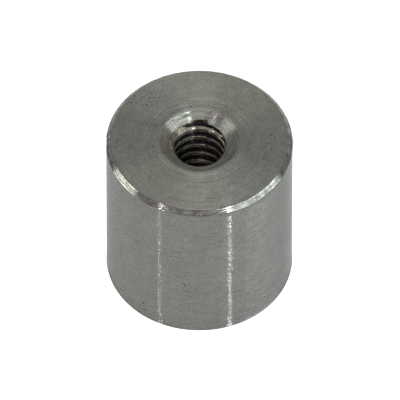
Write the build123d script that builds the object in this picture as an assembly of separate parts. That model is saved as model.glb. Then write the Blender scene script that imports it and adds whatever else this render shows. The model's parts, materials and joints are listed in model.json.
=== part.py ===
from build123d import *
from build123d.topology import SkipClean
import math
import os

# Round weld nut: a length of round steel bar, faced at both ends, chamfered round the top rim,
# drilled, countersunk at both mouths and tapped right through.
# Millimetres. The origin is the centre of the bottom face, +Z runs up the bore.

# ------------------------------------------------------------------ bar stock
body_diameter = 19.05
body_length = 19.3
rim_chamfer_width = 0.48
rim_chamfer_angle = 45.0
foot_chamfer_width = 0.1

# ------------------------------------- thread: 1/4 inch, 20 turns to the inch
thread_major_diameter = 6.35
thread_minor_diameter = 5.2
thread_pitch = 1.27
thread_angle = 60.0
thread_start_angle = -61.0

# -------------------------------------------------- countersink at each mouth
countersink_diameter = 8.1
countersink_angle = 110.0

# --------------------------- shares that the form of thread and its cutter set
root_flat_share = 1 / 8
overrun_share = 1 / 5
full_turn = 360
quarters = 4

# ------------------------------------------------- sizes that follow from them
body_radius = body_diameter / 2
major_radius = thread_major_diameter / 2
bore_radius = thread_minor_diameter / 2
thread_depth = major_radius - bore_radius
root_flat = thread_pitch * root_flat_share
flank_slope = math.tan(math.radians(thread_angle / 2))
countersink_radius = countersink_diameter / 2
countersink_slope = math.tan(math.radians(countersink_angle / 2))
countersink_depth = (countersink_radius - bore_radius) / countersink_slope
rim_slope = math.tan(math.radians(rim_chamfer_angle))


def half_section(outline):
    """A face on the XZ plane between the axis and an outline of (radius, height) points."""
    axis_foot = (0, 0)
    axis_top = (0, body_length)
    return make_face(Plane.XZ * Polyline(axis_foot, *outline, axis_top, close=True))


def bar_blank():
    """The bar, faced to length, with its top rim chamfered and the sharp edge off its bottom rim."""
    outline = [
        (body_radius - foot_chamfer_width, 0),
        (body_radius, foot_chamfer_width * rim_slope),
        (body_radius, body_length - rim_chamfer_width * rim_slope),
        (body_radius - rim_chamfer_width, body_length),
    ]
    return revolve(half_section(outline), axis=Axis.Z)


def drilled_hole():
    """What the drill and the countersinks take out, as quarter rounds that keep each wall face short."""
    outline = [
        (countersink_radius, 0),
        (bore_radius, countersink_depth),
        (bore_radius, body_length - countersink_depth),
        (countersink_radius, body_length),
    ]
    arc = full_turn / quarters
    quarter = revolve(half_section(outline), axis=Axis.Z, revolution_arc=arc)
    return [quarter.rotate(Axis.Z, arc * i) for i in range(quarters)]


def groove_turn():
    """What the tap takes out in one turn: the straight-sided groove, run on a little into the open bore."""
    overrun = thread_depth * overrun_share
    tool_radius = bore_radius - overrun
    half_root = root_flat / 2
    half_mouth = half_root + (thread_depth + overrun) * flank_slope
    corners = [
        (tool_radius, -half_mouth),
        (major_radius, -half_root),
        (major_radius, half_root),
        (tool_radius, half_mouth),
    ]
    edges = [Helix(thread_pitch, thread_pitch, radius, center=(0, 0, z)) for radius, z in corners]
    sides = [Face.make_surface_from_curves(a, b) for a, b in zip(edges, edges[1:] + edges[:1])]
    ends = [make_face(Polyline(*[edge @ end for edge in edges], close=True)) for end in (0, 1)]
    return Solid(Shell(sides + ends)).rotate(Axis.Z, thread_start_angle)


def thread_groove():
    """Turn upon turn of the groove, from below the bottom face to above the top one."""
    turn = groove_turn()
    turns = math.ceil(body_length / thread_pitch) + 2
    return [turn.moved(Location((0, 0, (i - 1) * thread_pitch))) for i in range(turns)]


os.makedirs("parts", exist_ok=True)
blank = bar_blank()
cuts = drilled_hole() + thread_groove()
with SkipClean():
    nut = blank.cut(*cuts)
nut.label = "weld_nut"
export_step(nut, "parts/weld_nut.step")
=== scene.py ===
import json
import math
import random

import bmesh
import bpy
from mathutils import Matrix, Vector, noise


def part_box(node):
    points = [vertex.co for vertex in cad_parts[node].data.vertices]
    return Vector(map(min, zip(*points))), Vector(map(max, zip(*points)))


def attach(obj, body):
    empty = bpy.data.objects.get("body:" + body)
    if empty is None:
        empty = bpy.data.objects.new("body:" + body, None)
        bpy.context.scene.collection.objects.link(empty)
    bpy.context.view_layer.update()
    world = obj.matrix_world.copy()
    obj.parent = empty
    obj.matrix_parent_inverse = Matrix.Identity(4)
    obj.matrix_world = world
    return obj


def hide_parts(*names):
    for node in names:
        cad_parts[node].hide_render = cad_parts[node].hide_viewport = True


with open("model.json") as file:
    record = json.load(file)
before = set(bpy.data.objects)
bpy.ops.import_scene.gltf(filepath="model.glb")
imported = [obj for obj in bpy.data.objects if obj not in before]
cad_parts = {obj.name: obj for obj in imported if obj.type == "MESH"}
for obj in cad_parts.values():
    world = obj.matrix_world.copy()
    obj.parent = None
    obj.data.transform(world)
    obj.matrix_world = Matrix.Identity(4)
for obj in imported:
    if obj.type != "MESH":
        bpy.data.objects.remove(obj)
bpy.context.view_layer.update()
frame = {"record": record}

# A round weld nut: one turned, countersunk and tapped piece of bare steel bar.
# Lengths are in metres and angles in degrees, unless a name or comment says millimetres or turns.

MM = 0.001

# ------------------------------------------------------------------ sizes taken from the frame
low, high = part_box("weld_nut")
mounts = {mount["name"]: mount for mount in frame["record"]["mounts"]}
tapped_hole, outer_wall = mounts["thread"], mounts["outer_wall"]
body_length = high.z - low.z
body_radius = min(high.x, -low.x)
crest_radius = tapped_hole["dims"]["r_mm"] * MM
mouth_depth = body_length - tapped_hole["pos_m"][2]
wall_middle = outer_wall["pos_m"][2]
wall_half = outer_wall["dims"]["length_mm"] * MM / 2
rim_chamfer = body_length - wall_middle - wall_half
foot_chamfer = wall_middle - wall_half

# ------------------------------------------------------------------ thread and countersinks
thread_pitch = 1.27 * MM
thread_major_radius = 3.175 * MM
thread_half_angle = 30.0
thread_start_turns = 0.5 + 61 / 360
mouth_radius = 4.05 * MM

thread_depth = thread_major_radius - crest_radius
flank_slope = math.tan(math.radians(thread_half_angle))
half_root = thread_pitch / 16
half_crest = thread_pitch / 2 - half_root - thread_depth * flank_slope
mouth_slope = (mouth_radius - crest_radius) / mouth_depth

# ------------------------------------------------------------------ sizes of the finish
edge_round = 0.05 * MM
thread_edge_round = 0.01 * MM
mouth_round = 0.12 * MM
burr_height = 0.03 * MM
burr_run = burr_height * 2.5
wall_radius = body_radius - burr_height

# Faint grooves turned into the top face round the mouth.
END_GROOVES = (4.72 * MM, 5.0 * MM, 5.32 * MM)
groove_width = 0.06 * MM
groove_depth = 0.025 * MM

# Section of the rounded edge of a mouth, from the countersink to the end face, as shares of mouth_round:
# how far outside the mouth's radius and how far below the face.
MOUTH_EDGE = ((-0.7 * mouth_slope, 0.7), (-0.35, 0.4), (0.3, 0.13), (1.0, 0.0))

# How the lower edge of the rim chamfer wanders: waves to a radius, and the share of each.
rim_waviness = 0.03 * MM
RIM_WAVES = ((14, 1.0), (45, 0.6))

# How the countersink's wall moves in and out where the cutter chattered.
chatter_depth = 0.03 * MM
CHATTER_WAVES = 1.9
CHATTER_PHASE = 4.2

# Where the thin first edge of the thread broke away under the top mouth. The span and its fade are in turns,
# and the reach is a share of the countersink's depth.
BROKEN_LIP = (0.205, 0.295)
broken_lip_fade = 0.03
broken_lip_reach = 0.93
broken_lip_raggedness = 0.05 * MM
RAGS_PER_TURN = 70
RAGS_PER_MILLIMETRE = 4
RAGS_PHASE = 1.7

# ------------------------------------------------------------------ how finely the mesh is cut
SEGMENTS = 240
TOP_FACE_ROWS = 16
CHAMFER_ROWS = 6
WALL_ROWS = 30
BOTTOM_FACE_ROWS = 12
MOUTH_ROW = 0.035 * MM
WELD_DISTANCE = 2e-7
SHARP_ANGLE = 40


# ================================================================== shape of the bore
def smooth_max(a, b, width):
    """The larger of two values, with the corner between them rounded over a width."""
    share = max(width - abs(a - b), 0.0) / width
    return max(a, b) + share * share * width / 4


def smooth_min(a, b, width):
    """The smaller of two values, with the corner between them rounded over a width."""
    return -smooth_max(-a, -b, width)


def window(value, start, end, fade):
    """1 between start and end, 0 outside them, with a fade at each side."""
    inside = min(value - start, end - value) / fade
    return min(max(inside, 0.0), 1.0)


def thread_radius(turns, z):
    """Radius of the tapped wall: a flat crest, two straight flanks and a flat root in each pitch."""
    place = z / thread_pitch - turns - thread_start_turns
    from_crest = abs(place - round(place)) * thread_pitch
    rise = smooth_max((from_crest - half_crest) / flank_slope, 0.0, thread_edge_round)
    return crest_radius + smooth_min(rise, thread_depth, thread_edge_round)


def chatter(turns):
    """How far the countersink's wall stands in or out at a place round the mouth."""
    angle = turns * 2 * math.pi
    place = Vector((math.cos(angle) * CHATTER_WAVES, math.sin(angle) * CHATTER_WAVES, CHATTER_PHASE))
    return chatter_depth * noise.noise(place)


def mouth_radius_at(turns, z):
    """Radius of the countersink cones at a height, or less than the bore where they have ended."""
    from_end = min(body_length - z, z)
    return mouth_radius - from_end * mouth_slope + chatter(turns) * min(from_end / edge_round, 1.0)


def broken_lip_radius(turns, z):
    """Radius that the broken first edge leaves, or 0 where the edge is whole."""
    share = window(turns, *BROKEN_LIP, broken_lip_fade)
    if share == 0 or z < body_length - mouth_depth * broken_lip_reach:
        return 0.0
    place = Vector((turns * RAGS_PER_TURN, z / MM * RAGS_PER_MILLIMETRE, RAGS_PHASE))
    ragged = broken_lip_raggedness * noise.noise(place)
    cone = mouth_radius_at(turns, z)
    return cone + (thread_major_radius + ragged - cone) * share


def cut_thread_radius(turns, z):
    """Radius of the thread, with its broken edge, before the countersinks are cut."""
    return max(thread_radius(turns, z), broken_lip_radius(turns, z))


def bore_radius_at(turns, z):
    """Radius of the finished bore."""
    return smooth_max(cut_thread_radius(turns, z), mouth_radius_at(turns, z), edge_round)


# ================================================================== mesh of the nut
SURFACES = ["faced_end", "turned_wall", "rim_chamfer", "countersink", "thread"]


def spread(start, end, count):
    """Evenly spaced (radius, height) points between two points, both ends left out."""
    return [tuple(a + (b - a) * i / count for a, b in zip(start, end)) for i in range(1, count)]


def mouth_edge():
    """(radius, depth below the end face) over the rounded edge of a mouth, from the countersink outwards."""
    return [(mouth_radius + out * mouth_round, down * mouth_round) for out, down in MOUTH_EDGE]


def top_face_points():
    """The top mouth's edge, the turned grooves and the face, up to the rim chamfer."""
    top, chamfer_start = body_length, body_radius - rim_chamfer
    surfaces = ("countersink", "countersink", "faced_end", "faced_end")
    points = [(radius, top - depth, surface) for (radius, depth), surface in zip(mouth_edge(), surfaces)]
    for groove in END_GROOVES:
        points += [(groove - groove_width, top, "faced_end"),
                   (groove, top - groove_depth, "faced_end"),
                   (groove + groove_width, top, "faced_end")]
    face = spread(points[-1][:2], (chamfer_start, top), TOP_FACE_ROWS)
    return points + [(*point, "faced_end") for point in face + [(chamfer_start - edge_round * 2, top)]]


def rim_points():
    """The rounded top of the rim chamfer and the chamfer, down to its lower edge."""
    top, chamfer_start = body_length, body_radius - rim_chamfer
    edge = [(chamfer_start - edge_round * 0.3, top),
            (chamfer_start + edge_round * 0.4, top - edge_round * 0.5)]
    slope = spread(edge[-1], (body_radius, top - rim_chamfer), CHAMFER_ROWS)
    return [(*point, "rim_chamfer") for point in edge + slope]


def wall_points():
    """The burr under the chamfer, the wall, and the small chamfer at the foot."""
    wall_top = body_length - rim_chamfer
    burr = [(body_radius, wall_top),
            (body_radius - burr_height * 0.2, wall_top - burr_height * 0.8),
            (wall_radius, wall_top - burr_run)]
    foot_top = (wall_radius, foot_chamfer + burr_run)
    wall = burr + spread(burr[-1], foot_top, WALL_ROWS) + [foot_top]
    return [(*point, "turned_wall") for point in wall] + [(body_radius, foot_chamfer, "rim_chamfer")]


def bottom_face_points():
    """The bottom face from the foot chamfer inwards, and the bottom mouth's edge."""
    foot = (body_radius - foot_chamfer, 0)
    face = [foot] + spread(foot, (mouth_radius + mouth_round, 0), BOTTOM_FACE_ROWS)
    surfaces = ("faced_end", "countersink", "countersink", "countersink")
    mouth = [(*point, surface) for point, surface in zip(reversed(mouth_edge()), surfaces)]
    return [(*point, "faced_end") for point in face] + mouth


def outer_profile():
    """(radius, height, surface of the band below it) from the top mouth over the rim to the bottom mouth."""
    return top_face_points() + rim_points() + wall_points() + bottom_face_points()


def ring(mesh, radius_at, z):
    """A ring of vertices whose radius is a function of the share of a turn."""
    vertices = []
    for i in range(SEGMENTS):
        turns = i / SEGMENTS
        angle = 2 * math.pi * turns
        radius = radius_at(turns)
        vertices.append(mesh.verts.new((radius * math.cos(angle), radius * math.sin(angle), z)))
    return vertices


def bridge(mesh, upper, lower, surface):
    """A band of faces between two rings, facing away from the material."""
    for i in range(SEGMENTS):
        j = (i + 1) % SEGMENTS
        face = mesh.faces.new((upper[i], lower[i], lower[j], upper[j]))
        face.material_index = SURFACES.index(surface)


def wavy_rim(mesh):
    """Let the lower edge of the rim chamfer wander up and down a little, as the tool left it."""
    lip_height = body_length - rim_chamfer
    for vertex in mesh.verts:
        near = max(1 - abs(vertex.co.z - lip_height) / (3 * edge_round), 0.0)
        outward = Vector((vertex.co.x, vertex.co.y, 0)).normalized()
        wander = sum(share * noise.noise(outward * waves) for waves, share in RIM_WAVES)
        vertex.co.z += near * rim_waviness * wander


def outer_skin(mesh):
    """Everything outside the bore. The first and last rings follow the countersinks' wall, to meet it."""
    profile = outer_profile()
    last = len(profile) - 1
    rings = []
    for k, (radius, z, surface) in enumerate(profile):
        if k in (0, last):
            rings.append(ring(mesh, lambda turns: mouth_radius_at(turns, z), z))
        else:
            rings.append(ring(mesh, lambda turns: radius, z))
    for upper, lower, (radius, z, surface) in zip(rings, rings[1:], profile):
        bridge(mesh, upper, lower, surface)
    wavy_rim(mesh)


def mouth_rings(mesh, near, far, rows):
    """The bore wall between two heights as level rings, fine enough to follow the lip of the thread."""
    heights = [near + (far - near) * k / rows for k in range(rows + 1)]
    rings = [ring(mesh, lambda turns: bore_radius_at(turns, z), z) for z in heights]
    for k in range(rows):
        middle = (heights[k] + heights[k + 1]) / 2
        for i in range(SEGMENTS):
            j = (i + 1) % SEGMENTS
            turns = (i + 0.5) / SEGMENTS
            on_cone = mouth_radius_at(turns, middle) > cut_thread_radius(turns, middle)
            face = mesh.faces.new((rings[k][i], rings[k][j], rings[k + 1][j], rings[k + 1][i]))
            face.material_index = SURFACES.index("countersink" if on_cone else "thread")


def thread_row_shares():
    """Places of the mesh rows in one pitch, at the corners of the thread's section, as shares of a pitch."""
    root_start = thread_pitch / 2 - half_root
    places = [half_crest, root_start, thread_pitch - root_start, thread_pitch - half_crest]
    return [place / thread_pitch for place in places]


def thread_column(mesh, turns, bottom, top):
    """Vertices up the bore at one place round it, on the thread's corners, held between two heights."""
    shares = thread_row_shares()
    turns_needed = math.ceil(body_length / thread_pitch) + 3
    angle = 2 * math.pi * turns
    column = []
    for k in range(turns_needed * len(shares)):
        climb = k // len(shares) + shares[k % len(shares)] - 2
        z = (climb + turns + thread_start_turns) * thread_pitch
        z = min(max(z, bottom), top)
        radius = bore_radius_at(turns, z)
        column.append(mesh.verts.new((radius * math.cos(angle), radius * math.sin(angle), z)))
    return column


def thread_turns(mesh, bottom, top):
    """The tapped wall as rows that climb with the thread, laid flat where they pass the bottom or the top."""
    columns = [thread_column(mesh, i / SEGMENTS, bottom, top) for i in range(SEGMENTS)]
    one_turn_up = columns[0][len(thread_row_shares()):]
    for here, there in zip(columns, columns[1:] + [one_turn_up]):
        for k in range(min(len(here), len(there)) - 1):
            face = mesh.faces.new((here[k], here[k + 1], there[k + 1], there[k]))
            face.material_index = SURFACES.index("thread")


def bore(mesh):
    """The bore: fine level rings at each mouth, and climbing rows between them."""
    edge_depth = mouth_edge()[0][1]
    fine_above = mouth_depth + thread_pitch
    fine_below = mouth_depth + 2 * MOUTH_ROW
    mouth_rings(mesh, body_length - edge_depth, body_length - fine_above, math.ceil(fine_above / MOUTH_ROW))
    thread_turns(mesh, fine_below, body_length - fine_above)
    mouth_rings(mesh, fine_below, edge_depth, math.ceil(fine_below / MOUTH_ROW / 2))


# ================================================================== wear
# Pits in the faced end as (x, y, radius, depth), in millimetres.
END_PITS = [
    (-5.13, 7.00, 0.10, 0.05), (-4.86, 6.21, 0.12, 0.06), (-5.10, 5.62, 0.09, 0.04), (-4.61, 5.62, 0.13, 0.06),
    (-4.09, 5.62, 0.12, 0.06), (-3.50, 5.83, 0.14, 0.06), (-5.81, 4.71, 0.10, 0.05), (-5.42, 4.67, 0.13, 0.06),
    (-6.72, 5.37, 0.12, 0.06), (-6.95, 5.01, 0.16, 0.07), (-6.47, 4.95, 0.10, 0.05), (-6.63, 5.83, 0.15, 0.04),
    (-5.29, 2.22, 0.12, 0.03), (-4.55, 1.93, 0.12, 0.03), (-4.74, -0.82, 0.13, 0.03), (-0.83, 4.42, 0.12, 0.03),
    (7.31, 0.76, 0.12, 0.06), (7.06, 0.47, 0.10, 0.05), (7.35, 0.21, 0.12, 0.06), (6.93, -0.37, 0.12, 0.06),
    (6.76, -0.82, 0.12, 0.06), (7.35, -1.16, 0.12, 0.06), (7.67, -1.41, 0.11, 0.05), (8.32, -1.33, 0.12, 0.05),
    (8.59, -1.54, 0.10, 0.05), (6.76, -1.54, 0.10, 0.05), (6.82, -1.94, 0.10, 0.05), (6.57, -2.36, 0.14, 0.06),
]
# Pits in the wall, and nicks in the left of the rim, as (angle, height, radius, depth) in degrees and
# millimetres. The angles are counted from the front, to the right.
WALL_PITS = [
    (-9.2, 7.35, 0.22, 0.08), (-10.3, 7.62, 0.12, 0.05), (-11.1, 7.83, 0.14, 0.05), (-36.0, 1.2, 0.22, 0.06),
    (-37.2, 2.03, 0.15, 0.05), (-41.4, 11.7, 0.12, 0.04), (-58.4, 7.3, 0.12, 0.03), (-57.2, 7.05, 0.14, 0.03),
    (-56.0, 6.85, 0.14, 0.03), (-54.8, 6.65, 0.12, 0.03),
]
RIM_NICKS = [(-91.0, 18.7, 0.34, 0.2), (-88.0, 18.75, 0.2, 0.1), (-93.8, 18.9, 0.22, 0.14)]

# The listed pits are pressed in at this share of their size.
END_PIT_SHARE = 0.75
WALL_PIT_SHARE = 0.65

# Patches of small pits in the faced end as (x, y, spread, count), in millimetres.
PIT_PATCHES = [(-5.2, 5.6, 1.0, 26), (7.2, -0.9, 0.85, 40), (-8.45, -0.6, 0.7, 40), (-8.3, 1.8, 0.5, 18)]
PATCH_SEED = 5
PATCH_SQUASH = 0.6
PATCH_LIMIT = 8.9
SMALL_PIT_SIZES = (0.035, 0.07)
SMALL_PIT_DEPTH = 0.5

# Faces near a pit are cut twice, more finely at a large pit, but edges that are short already stay whole.
LARGE_PIT = 0.09 * MM
LARGE_PIT_CUTS = (3, 2)
SMALL_PIT_CUTS = (2, 2)
refine_margin = 0.12 * MM
shortest_cut_edge = 0.03 * MM

# How far beyond its radius a pit is looked for, how ragged its outline is, and how steeply the note of its
# depth rises from its edge.
PIT_REACH = 1.6
PIT_RAGGEDNESS = 0.45
PIT_RAGS_PER_MILLIMETRE = 9
PITTED_RISE = 1.6


def small_pits():
    """Small pits scattered over each patch, the same ones every time."""
    chance = random.Random(PATCH_SEED)
    pits = []
    for x, y, scatter, count in PIT_PATCHES:
        for i in range(count):
            place = (chance.gauss(x, scatter * PATCH_SQUASH), chance.gauss(y, scatter))
            if math.hypot(*place) < PATCH_LIMIT:
                size = chance.uniform(*SMALL_PIT_SIZES)
                pits.append((*place, size, size * SMALL_PIT_DEPTH))
    return pits


def wall_point(angle, height, radius):
    """A point at an angle from the front and a height in millimetres."""
    a = math.radians(angle)
    return Vector((math.sin(a) * radius, -math.cos(a) * radius, height * MM))


def shrunk_pits(pits, share):
    """The same pits with their radius and depth made smaller."""
    return [(a, b, size * share, depth * share) for a, b, size, depth in pits]


def all_pits():
    """Every pit as (centre, radius, depth, inward direction)."""
    pits = [(Vector((x * MM, y * MM, body_length)), size, depth, Vector((0, 0, -1)))
            for x, y, size, depth in shrunk_pits(END_PITS, END_PIT_SHARE) + small_pits()]
    for angle, height, size, depth in shrunk_pits(WALL_PITS, WALL_PIT_SHARE) + RIM_NICKS:
        centre = wall_point(angle, height, body_radius)
        inward = Vector((-centre.x, -centre.y, 0)).normalized()
        pits.append((centre, size, depth, inward))
    return [(centre, size * MM, depth * MM, inward) for centre, size, depth, inward in pits]


def refine_round(mesh, centre, reach):
    """Cut the faces near a point into smaller ones, twice."""
    for cuts in LARGE_PIT_CUTS if reach > LARGE_PIT else SMALL_PIT_CUTS:
        faces = [face for face in mesh.faces if (face.calc_center_median() - centre).length
                 < reach + refine_margin + math.sqrt(face.calc_area()) / 2]
        edges = {edge for face in faces for edge in face.edges if edge.calc_length() > shortest_cut_edge}
        if edges:
            bmesh.ops.subdivide_edges(mesh, edges=list(edges), cuts=cuts, use_grid_fill=True)


def press_pits(mesh):
    """Press each pit into the skin, and note in the vertex layer pitted how deep the skin lies there."""
    layer = mesh.verts.layers.float.new("pitted")
    pits = all_pits()
    for centre, size, depth, inward in pits:
        refine_round(mesh, centre, size)
    for centre, size, depth, inward in pits:
        for vertex in mesh.verts:
            offset = vertex.co - centre
            if offset.length > size * PIT_REACH:
                continue
            ragged = 1 + PIT_RAGGEDNESS * noise.noise(vertex.co / MM * PIT_RAGS_PER_MILLIMETRE)
            share = 1 - (offset.length / (size * ragged)) ** 2
            if share > 0:
                vertex.co += inward * depth * share
                vertex[layer] = max(vertex[layer], min(share * PITTED_RISE, 1.0))


def make_nut():
    """The whole nut as one closed mesh, with a material slot for each finish."""
    mesh = bmesh.new()
    outer_skin(mesh)
    press_pits(mesh)
    bore(mesh)
    bmesh.ops.remove_doubles(mesh, verts=mesh.verts, dist=WELD_DISTANCE)
    bmesh.ops.dissolve_degenerate(mesh, edges=mesh.edges, dist=WELD_DISTANCE)
    bmesh.ops.recalc_face_normals(mesh, faces=mesh.faces)
    data = bpy.data.meshes.new("weld_nut_finished")
    mesh.to_mesh(data)
    mesh.free()
    nut = bpy.data.objects.new("weld_nut_finished", data)
    bpy.context.scene.collection.objects.link(nut)
    data.shade_smooth()
    data.set_sharp_from_angle(angle=math.radians(SHARP_ANGLE))
    for surface in SURFACES:
        data.materials.append(steel_material(surface, FINISHES[surface]))
    return nut


# ================================================================== shader helpers
def join(tree, value, socket):
    """Link a socket to a socket, or set the socket to a plain value."""
    if isinstance(value, bpy.types.NodeSocket):
        tree.links.new(value, socket)
    else:
        socket.default_value = value


def add(tree, kind, inputs=None, **settings):
    """A node with its settings made and its inputs set or linked."""
    node = tree.nodes.new(kind)
    for name, value in settings.items():
        setattr(node, name, value)
    for name, value in (inputs or {}).items():
        join(tree, value, node.inputs[name])
    return node


def math_node(tree, operation, *values):
    """The result of one operation on plain numbers or sockets."""
    return add(tree, "ShaderNodeMath", dict(enumerate(values)), operation=operation).outputs[0]


def between(tree, value, start, end, low_value=0.0, high_value=1.0):
    """A value mapped from one range to another, held at the ends."""
    node = add(tree, "ShaderNodeMapRange", {"Value": value, "From Min": start, "From Max": end,
                                            "To Min": low_value, "To Max": high_value})
    return node.outputs["Result"]


def mix_color(tree, share, first, second):
    """A colour that goes from the first to the second as the share goes from 0 to 1."""
    node = add(tree, "ShaderNodeMix", {"Factor": share}, data_type="RGBA")
    sockets = [socket for socket in node.inputs if socket.type == "RGBA"]
    for socket, value in zip(sockets, (first, second)):
        join(tree, value, socket)
    return [socket for socket in node.outputs if socket.type == "RGBA"][0]


def object_noise(tree, scale, detail, sharpness=0.5):
    """Noise with no direction, fixed to the piece."""
    place = add(tree, "ShaderNodeTexCoord")
    node = add(tree, "ShaderNodeTexNoise", {"Vector": place.outputs["Object"], "Scale": scale,
                                            "Detail": detail, "Roughness": sharpness})
    return node.outputs["Fac"]


def object_place(tree):
    """Where a place lies on the piece: its X, Y and Z, and its X and Y alone as a vector from the axis."""
    place = add(tree, "ShaderNodeTexCoord")
    parts = add(tree, "ShaderNodeSeparateXYZ", {0: place.outputs["Object"]})
    from_axis = add(tree, "ShaderNodeCombineXYZ", {"X": parts.outputs["X"], "Y": parts.outputs["Y"]})
    return parts.outputs, from_axis.outputs[0]


def length_of(tree, vector):
    """How long a vector is, such as the distance from the axis."""
    return add(tree, "ShaderNodeVectorMath", {0: vector}, operation="LENGTH").outputs["Value"]


def direction_of(tree, vector):
    """The vector at a length of one."""
    return add(tree, "ShaderNodeVectorMath", {0: vector}, operation="NORMALIZE").outputs[0]


def new_group(name, inputs, outputs):
    """An empty shader group of plain numbers. Inputs are (name, default) pairs, outputs are names."""
    tree = bpy.data.node_groups.new(name, "ShaderNodeTree")
    for label, default in inputs:
        socket = tree.interface.new_socket(label, in_out="INPUT", socket_type="NodeSocketFloat")
        socket.default_value = default
    for label in outputs:
        tree.interface.new_socket(label, in_out="OUTPUT", socket_type="NodeSocketFloat")
    return tree, tree.nodes.new("NodeGroupInput").outputs, tree.nodes.new("NodeGroupOutput").inputs


def place_group(tree, group, inputs=None):
    """The outputs of a shader group set down in a material."""
    node = tree.nodes.new("ShaderNodeGroup")
    node.node_tree = group
    for name, value in (inputs or {}).items():
        join(tree, value, node.inputs[name])
    return node.outputs


# ================================================================== effects shared by the finishes
# Most noise lies between these two values.
NOISE_LOW, NOISE_HIGH = 0.3, 0.7
# How many coarse tool marks, tone marks and deep rings there are to one fine mark.
COARSE_SHARE, TONE_SHARE, RING_SHARE = 0.22, 0.3, 0.45
# How much faster than the tool marks the tone marks and deep rings alter on the way round.
TONE_CHANGE, RING_CHANGE = 8.0, 4.0
# Noise from which a ring shows, and at which it is full.
RING_START, RING_FULL = 0.60, 0.72
RING_PHASE = 31.0
# How many broad patches and stains there are to one grain.
BROAD_SHARE, STAIN_SHARE = 0.08, 0.2
# Dirt in the pits: rags to a millimetre, how far they move its edge, and where it starts and is full.
DIRT_RAGS = 14
dirt_raggedness = 0.3
DIRT_START, DIRT_FULL = 0.2, 0.7

# Painted shade in the thread's flanks and roots: its depths below the crest where it starts and is full, and
# how ragged its edge is.
painted_shade_start, painted_shade_full = 0.03 * MM, 0.1 * MM
PAINTED_SHADE_RAGS = 2.5
painted_shade_raggedness = 0.04 * MM
# In the first turn, which is more open to light, the painted shade starts deeper, most of all at the left end
# of the mouth.
first_turn = body_length - mouth_depth - 0.34 * thread_pitch
first_turn_fade = 0.05 * thread_pitch
lit_depth_left, lit_depth_elsewhere = 0.5 * MM, 0.19 * MM
left_end, left_fade_end = -1.9 * MM, -1.2 * MM
# Share of the painted shade that is left where the countersink cuts the thread.
cone_cut_shade_share = 0.7
cone_cut_shade_fade = 0.1 * MM


def drawn_out_noise(tree, across, outward, change, scale, detail, sharpness=0.6, shift=0.0):
    """Noise drawn out round the axis. Change says how fast it alters on the way round."""
    turned = add(tree, "ShaderNodeVectorMath", {0: outward, "Scale": change}, operation="SCALE")
    sides = add(tree, "ShaderNodeSeparateXYZ", {0: turned.outputs[0]})
    row = math_node(tree, "MULTIPLY_ADD", across, scale, shift)
    place = add(tree, "ShaderNodeCombineXYZ", {"X": sides.outputs["X"], "Y": sides.outputs["Y"], "Z": row})
    node = add(tree, "ShaderNodeTexNoise", {"Vector": place.outputs[0], "Scale": 1.0, "Detail": detail,
                                            "Roughness": sharpness})
    return node.outputs["Fac"]


def tool_mark_group():
    """Marks that run round the axis. Shares say how far a step out and a step up cross them."""
    tree, given, result = new_group(
        "tool_marks",
        [("Radial Share", 1.0), ("Axial Share", 0.0), ("Marks Per Millimetre", 12.0), ("Change Around", 0.15)],
        ["Fine Height", "Coarse Height", "Tone", "Deep Rings"])
    place, from_axis = object_place(tree)
    outward = direction_of(tree, from_axis)
    out = math_node(tree, "MULTIPLY", length_of(tree, from_axis), given["Radial Share"])
    up = math_node(tree, "MULTIPLY", place["Z"], given["Axial Share"])
    across = math_node(tree, "MULTIPLY", math_node(tree, "ADD", out, up), 1 / MM)
    across = math_node(tree, "MULTIPLY", across, given["Marks Per Millimetre"])
    change = given["Change Around"]
    tone_change = math_node(tree, "MULTIPLY", change, TONE_CHANGE)
    ring_change = math_node(tree, "MULTIPLY", change, RING_CHANGE)
    fine = drawn_out_noise(tree, across, outward, change, scale=1.0, detail=1.0)
    coarse = drawn_out_noise(tree, across, outward, change, COARSE_SHARE, detail=3.0)
    tone = drawn_out_noise(tree, across, outward, tone_change, TONE_SHARE, detail=5.0, sharpness=0.75)
    rings = drawn_out_noise(tree, across, outward, ring_change, RING_SHARE, detail=1.0, sharpness=0.5,
                            shift=RING_PHASE)
    join(tree, fine, result["Fine Height"])
    join(tree, coarse, result["Coarse Height"])
    join(tree, tone, result["Tone"])
    join(tree, between(tree, rings, RING_START, RING_FULL), result["Deep Rings"])
    return tree


def grain_group():
    """Mottling with no direction, in three sizes, for small changes of tone."""
    tree, given, result = new_group("steel_grain", [("Grains Per Millimetre", 6.0)], ["Fine", "Broad", "Stain"])
    scale = math_node(tree, "MULTIPLY", given["Grains Per Millimetre"], 1 / MM)
    broad_scale = math_node(tree, "MULTIPLY", scale, BROAD_SHARE)
    stain_scale = math_node(tree, "MULTIPLY", scale, STAIN_SHARE)
    join(tree, object_noise(tree, scale, detail=3.0, sharpness=0.7), result["Fine"])
    join(tree, object_noise(tree, broad_scale, detail=3.0), result["Broad"])
    join(tree, object_noise(tree, stain_scale, detail=4.0, sharpness=0.65), result["Stain"])
    return tree


def dirt_group():
    """Where dark dirt lies: in the bottoms of the pits, with ragged edges."""
    tree, _, result = new_group("pit_dirt", [], ["Dirt"])
    pitted = add(tree, "ShaderNodeAttribute", attribute_name="pitted").outputs["Fac"]
    rags = object_noise(tree, DIRT_RAGS / MM, detail=2.0)
    shift = between(tree, rags, NOISE_LOW, NOISE_HIGH, -dirt_raggedness, dirt_raggedness)
    depth = between(tree, math_node(tree, "ADD", pitted, shift), DIRT_START, DIRT_FULL)
    inside_pit = between(tree, pitted, 0.0, 0.1)
    join(tree, math_node(tree, "MULTIPLY", depth, inside_pit), result["Dirt"])
    return tree


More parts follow.
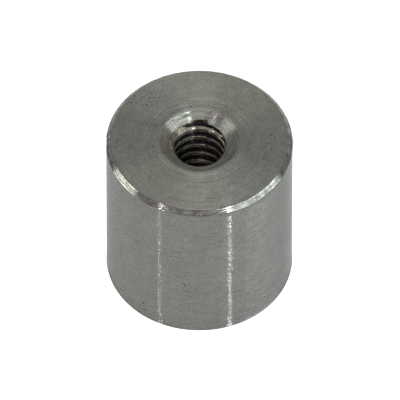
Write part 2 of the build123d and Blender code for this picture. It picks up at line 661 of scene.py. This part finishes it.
def thread_shade_group():
    """Where painted shade darkens the thread's recesses: 0 on the crest, 1 from part way down the flank."""
    tree, _, result = new_group("groove_oil", [], ["Groove"])
    place, from_axis = object_place(tree)
    rags = object_noise(tree, PAINTED_SHADE_RAGS / MM, detail=3.0)
    shift = between(tree, rags, NOISE_LOW, NOISE_HIGH, -painted_shade_raggedness, painted_shade_raggedness)
    radius = math_node(tree, "ADD", length_of(tree, from_axis), shift)
    in_first_turn = between(tree, place["Z"], first_turn - first_turn_fade, first_turn)
    first_turn_lit_depth = between(tree, place["X"], left_end, left_fade_end, lit_depth_left, lit_depth_elsewhere)
    radius = math_node(tree, "SUBTRACT", radius, math_node(tree, "MULTIPLY", in_first_turn, first_turn_lit_depth))
    groove = between(tree, radius, crest_radius + painted_shade_start, crest_radius + painted_shade_full)
    cone_end = body_length - mouth_depth
    cone_cut_shade = between(tree, place["Z"], cone_end - cone_cut_shade_fade, cone_end + cone_cut_shade_fade, 1.0, cone_cut_shade_share)
    join(tree, math_node(tree, "MULTIPLY", groove, cone_cut_shade), result["Groove"])
    return tree


TOOL_MARKS = tool_mark_group()
GRAIN = grain_group()
DIRT = dirt_group()
THREAD_SHADE = thread_shade_group()

# ================================================================== finishes
# color and roughness: of the clean steel
# drawn_out:           how far the shine is drawn out across the tool marks, 0 to 1
# across:              how far a step out and a step up cross the marks
# change:              how fast the marks alter on the way round
# marks:               how many marks to a millimetre
# fine, coarse_slope:  how steep the sides of the fine and the coarse marks are
# tone, grain, rings:  how far the marks, the grain and the deep rings change the colour
# stain:               how much brown stain shows
DIAGONAL = math.sqrt(0.5)
FINISHES = {
    "faced_end": dict(
        color=(0.352, 0.355, 0.33), roughness=0.37, drawn_out=0.9,
        across=(1.0, 0.0), change=0.3, marks=10.0, fine_slope=0.16, coarse_slope=0.02,
        tone=0.06, grain=0.27, rings=0.14, stain=0.12),
    "turned_wall": dict(
        color=(0.212, 0.213, 0.205), roughness=0.13, drawn_out=1.0,
        across=(0.0, 1.0), change=3.0, marks=40.0, fine_slope=0.6, coarse_slope=0.0,
        tone=0.02, grain=0.3, rings=0.02, stain=0.05),
    "rim_chamfer": dict(
        color=(0.27, 0.27, 0.26), roughness=0.18, drawn_out=0.5,
        across=(DIAGONAL, -DIAGONAL), change=0.6, marks=8.0, fine_slope=0.12, coarse_slope=0.04,
        tone=0.2, grain=0.5, rings=0.1, stain=0.5),
    "countersink": dict(
        color=(0.36, 0.362, 0.335), roughness=0.33, drawn_out=0.9,
        across=(DIAGONAL, DIAGONAL), change=0.6, marks=10.0, fine_slope=0.45, coarse_slope=0.3,
        tone=0.2, grain=0.25, rings=0.3, stain=0.15),
    "thread": dict(
        color=(0.40, 0.365, 0.31), roughness=0.28, drawn_out=1.0,
        across=(0.0, 1.0), change=0.8, marks=14.0, fine_slope=0.6, coarse_slope=0.0,
        tone=0.3, grain=0.4, rings=0.0, stain=0.6),
}
STAIN_COLOR = (0.07, 0.052, 0.042, 1.0)
DIRT_COLOR = (0.055, 0.045, 0.033, 1.0)
# Near-black painted shade laid into the thread's flanks and roots.
THREAD_SHADE_COLOR = (0.017, 0.015, 0.016, 1.0)

# How far broad patches change the colour, and the noise from which stain shows and at which it is full.
BROAD_SWING = 0.06
STAIN_START, STAIN_FULL = 0.42, 0.58
# Roughness of the finest and of the coarsest marks, as shares of the finish's own.
GLOSS_SHARES = (0.92, 1.1)
# The steepest slope of noise that is one unit high and has one mark to a unit.
NOISE_SLOPE = 0.6
DIRT_ROUGHNESS = 0.8
# The relief is measured over a short step, so that marks round the axis don't tilt the wall sideways.
RELIEF_STEP = 0.004


def around_one(tree, value, swing):
    """A factor that swings round 1 with a noise value."""
    return between(tree, value, NOISE_LOW, NOISE_HIGH, 1 - swing, 1 + swing)


def steel_color(tree, finish, marks, grain, dirt):
    """The colour of the steel with its marks, grain and stain, and the dirt in its pits."""
    tone = around_one(tree, marks["Tone"], finish["tone"])
    fine = around_one(tree, grain["Fine"], finish["grain"])
    broad = around_one(tree, grain["Broad"], BROAD_SWING)
    rings = between(tree, marks["Deep Rings"], 0.0, 1.0, 1.0, 1 - finish["rings"])
    shade = math_node(tree, "MULTIPLY", math_node(tree, "MULTIPLY", tone, fine),
                      math_node(tree, "MULTIPLY", broad, rings))
    steel = add(tree, "ShaderNodeVectorMath", {0: finish["color"], 1: shade}, operation="MULTIPLY")
    stain = between(tree, grain["Stain"], STAIN_START, STAIN_FULL, 0.0, finish["stain"])
    stained = mix_color(tree, stain, steel.outputs[0], STAIN_COLOR)
    return mix_color(tree, dirt, stained, DIRT_COLOR)


def steel_relief(tree, finish, marks):
    """The normal over the fine and coarse tool marks."""
    fine_depth = finish["fine_slope"] / (NOISE_SLOPE * finish["marks"]) * MM
    coarse_depth = finish["coarse_slope"] / (NOISE_SLOPE * finish["marks"] * COARSE_SHARE) * MM
    coarse = math_node(tree, "MULTIPLY", marks["Coarse Height"], coarse_depth / fine_depth)
    height = math_node(tree, "ADD", marks["Fine Height"], coarse)
    bump = add(tree, "ShaderNodeBump", {"Height": height, "Strength": 1.0, "Distance": fine_depth,
                                        "Filter Width": RELIEF_STEP})
    return bump.outputs[0]


def steel_material(name, finish):
    """The steel as one finish shows it, with its shine drawn out across the tool marks."""
    material = bpy.data.materials.new("steel_" + name)
    material.use_nodes = True
    tree = material.node_tree
    tree.nodes.clear()
    marks = place_group(tree, TOOL_MARKS, {
        "Radial Share": finish["across"][0], "Axial Share": finish["across"][1],
        "Marks Per Millimetre": finish["marks"], "Change Around": finish["change"]})
    grain = place_group(tree, GRAIN)
    dirt = place_group(tree, DIRT)["Dirt"]
    color = steel_color(tree, finish, marks, grain, dirt)
    # Painted shade darkens the thread's flanks and roots, less so in the first turn and where the countersink
    # cuts it.
    if name == "thread":
        color = mix_color(tree, place_group(tree, THREAD_SHADE)["Groove"], color, THREAD_SHADE_COLOR)
    gloss = between(tree, marks["Tone"], NOISE_LOW, NOISE_HIGH,
                    *(finish["roughness"] * share for share in GLOSS_SHARES))
    gloss = math_node(tree, "MAXIMUM", gloss, math_node(tree, "MULTIPLY", dirt, DIRT_ROUGHNESS))
    round_axis = add(tree, "ShaderNodeTangent", direction_type="RADIAL", axis="Z")
    shader = add(tree, "ShaderNodeBsdfPrincipled", {
        "Base Color": color, "Metallic": math_node(tree, "SUBTRACT", 1.0, dirt), "Roughness": gloss,
        "Normal": steel_relief(tree, finish, marks), "Specular Tint": (0.75, 0.75, 0.75, 1.0),
        "Anisotropic": finish["drawn_out"], "Anisotropic Rotation": 0.25, "Tangent": round_axis.outputs[0]})
    add(tree, "ShaderNodeOutputMaterial", {"Surface": shader.outputs["BSDF"]})
    return material


# ================================================================== studio
LAMP_DISTANCE = 0.5
# Each lamp as (name, azimuth, elevation, width, height, radiance, colour): windows and soft fills, soft light
# from above, and two thin upright tubes that draw the lines down the wall.
LAMPS = [
    ("window_right", 58, 28, 0.66, 0.2, 2.2, (0.85, 1.0, 0.96)),
    ("window_front", 43, 34, 0.16, 0.11, 2.0, (0.87, 1.0, 0.96)),
    ("window_left", -87, 22, 0.25, 0.12, 5.2, (0.96, 1.0, 0.85)),
    ("fill_right", 70, 9, 0.4, 0.12, 4.8, (0.95, 1.0, 0.97)),
    ("overhead", -176, 72, 0.08, 0.3, 1.0, (0.97, 1.0, 0.88)),
    ("ceiling", 0, 63, 0.2, 0.12, 1.35, (1.0, 1.0, 0.93)),
    ("strip_right", 30.9, 20, 0.005, 0.32, 112, (0.97, 1.0, 1.0)),
    ("strip_left", -41.1, 20, 0.005, 0.32, 50, (1.0, 0.9, 1.0)),
]
WHITE = (1.0, 1.0, 1.0, 1.0)
PAPER_COLOR = (0.85, 0.85, 0.85, 1.0)
ROOM_COLOR = (1.0, 0.975, 0.96, 1.0)
room_strength_front = 0.62
room_strength_back = 0.35

floor_half = 1.5
floor_level = -0.01 * MM
floor_glow_to_camera = 0.75
floor_glow_in_steel = 0.38

camera_elevation = 51.5
camera_distance = 1.9
frame_width = 40.86 * MM
aim_point = Vector((0.06 * MM, 0, 9.55 * MM))


def towards(azimuth, elevation):
    """Unit vector from the nut to a place round it. Azimuth 0 is the side that the camera is on."""
    a, e = math.radians(azimuth), math.radians(elevation)
    return Vector((math.sin(a) * math.cos(e), -math.cos(a) * math.cos(e), math.sin(e)))


def aim(thing, place, target):
    """Put a lamp or camera at a place, looking at a target."""
    thing.location = place
    thing.rotation_mode = "QUATERNION"
    thing.rotation_quaternion = (target - place).to_track_quat("-Z", "Y")


def soft_light(name, azimuth, elevation, width, height, radiance, colour):
    """A rectangular lamp that has the same brightness at any size."""
    data = bpy.data.lights.new(name, "AREA")
    data.shape = "RECTANGLE"
    data.size, data.size_y = width, height
    data.color = colour
    data.energy = radiance * math.pi * width * height
    lamp = bpy.data.objects.new(name, data)
    bpy.context.scene.collection.objects.link(lamp)
    lamp.visible_camera = False
    aim(lamp, towards(azimuth, elevation) * LAMP_DISTANCE, Vector((0, 0, body_length / 2)))


def make_floor():
    """White paper that keeps the nut's shadow and glows a little to the camera and in the steel."""
    data = bpy.data.meshes.new("floor")
    corners = [(x * floor_half, y * floor_half, floor_level) for x, y in ((-1, -1), (1, -1), (1, 1), (-1, 1))]
    data.from_pydata(corners, [], [(0, 1, 2, 3)])
    floor = bpy.data.objects.new("floor", data)
    bpy.context.scene.collection.objects.link(floor)
    material = bpy.data.materials.new("floor_paper")
    material.use_nodes = True
    tree = material.node_tree
    tree.nodes.clear()
    path = add(tree, "ShaderNodeLightPath")
    to_camera = math_node(tree, "MULTIPLY", path.outputs["Is Camera Ray"], floor_glow_to_camera)
    in_steel = math_node(tree, "MULTIPLY", path.outputs["Is Glossy Ray"], floor_glow_in_steel)
    paper = add(tree, "ShaderNodeBsdfDiffuse", {"Color": PAPER_COLOR})
    glow = add(tree, "ShaderNodeEmission", {"Color": WHITE,
                                            "Strength": math_node(tree, "MAXIMUM", to_camera, in_steel)})
    both = add(tree, "ShaderNodeAddShader", {0: paper.outputs[0], 1: glow.outputs[0]})
    add(tree, "ShaderNodeOutputMaterial", {"Surface": both.outputs[0]})
    data.materials.append(material)


def make_world():
    """A dim room, brighter on the camera's side, that the camera sees as plain white."""
    world = bpy.data.worlds.new("studio")
    bpy.context.scene.world = world
    world.use_nodes = True
    tree = world.node_tree
    tree.nodes.clear()
    path = add(tree, "ShaderNodeLightPath")
    place = add(tree, "ShaderNodeTexCoord")
    parts = add(tree, "ShaderNodeSeparateXYZ", {0: place.outputs["Generated"]})
    strength = between(tree, parts.outputs["Y"], -1.0, 1.0, room_strength_front, room_strength_back)
    room = add(tree, "ShaderNodeBackground", {"Color": ROOM_COLOR, "Strength": strength})
    white = add(tree, "ShaderNodeBackground", {"Color": WHITE, "Strength": 1.0})
    mix = add(tree, "ShaderNodeMixShader", {0: path.outputs["Is Camera Ray"],
                                            1: room.outputs[0], 2: white.outputs[0]})
    add(tree, "ShaderNodeOutputWorld", {"Surface": mix.outputs[0]})


def make_camera():
    """A long lens that looks down at the nut."""
    data = bpy.data.cameras.new("camera")
    camera = bpy.data.objects.new("camera", data)
    bpy.context.scene.collection.objects.link(camera)
    data.lens = data.sensor_width * camera_distance / frame_width
    data.clip_start, data.clip_end = 0.1, 10
    aim(camera, aim_point + towards(0, camera_elevation) * camera_distance, aim_point)
    bpy.context.scene.camera = camera


def make_studio():
    """Floor, room, lamps and camera."""
    make_floor()
    make_world()
    for lamp in LAMPS:
        soft_light(*lamp)
    make_camera()
    bpy.context.scene.view_settings.view_transform = "Standard"


# ================================================================== put it together
nut = make_nut()
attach(nut, "root")
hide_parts("weld_nut")
make_studio()
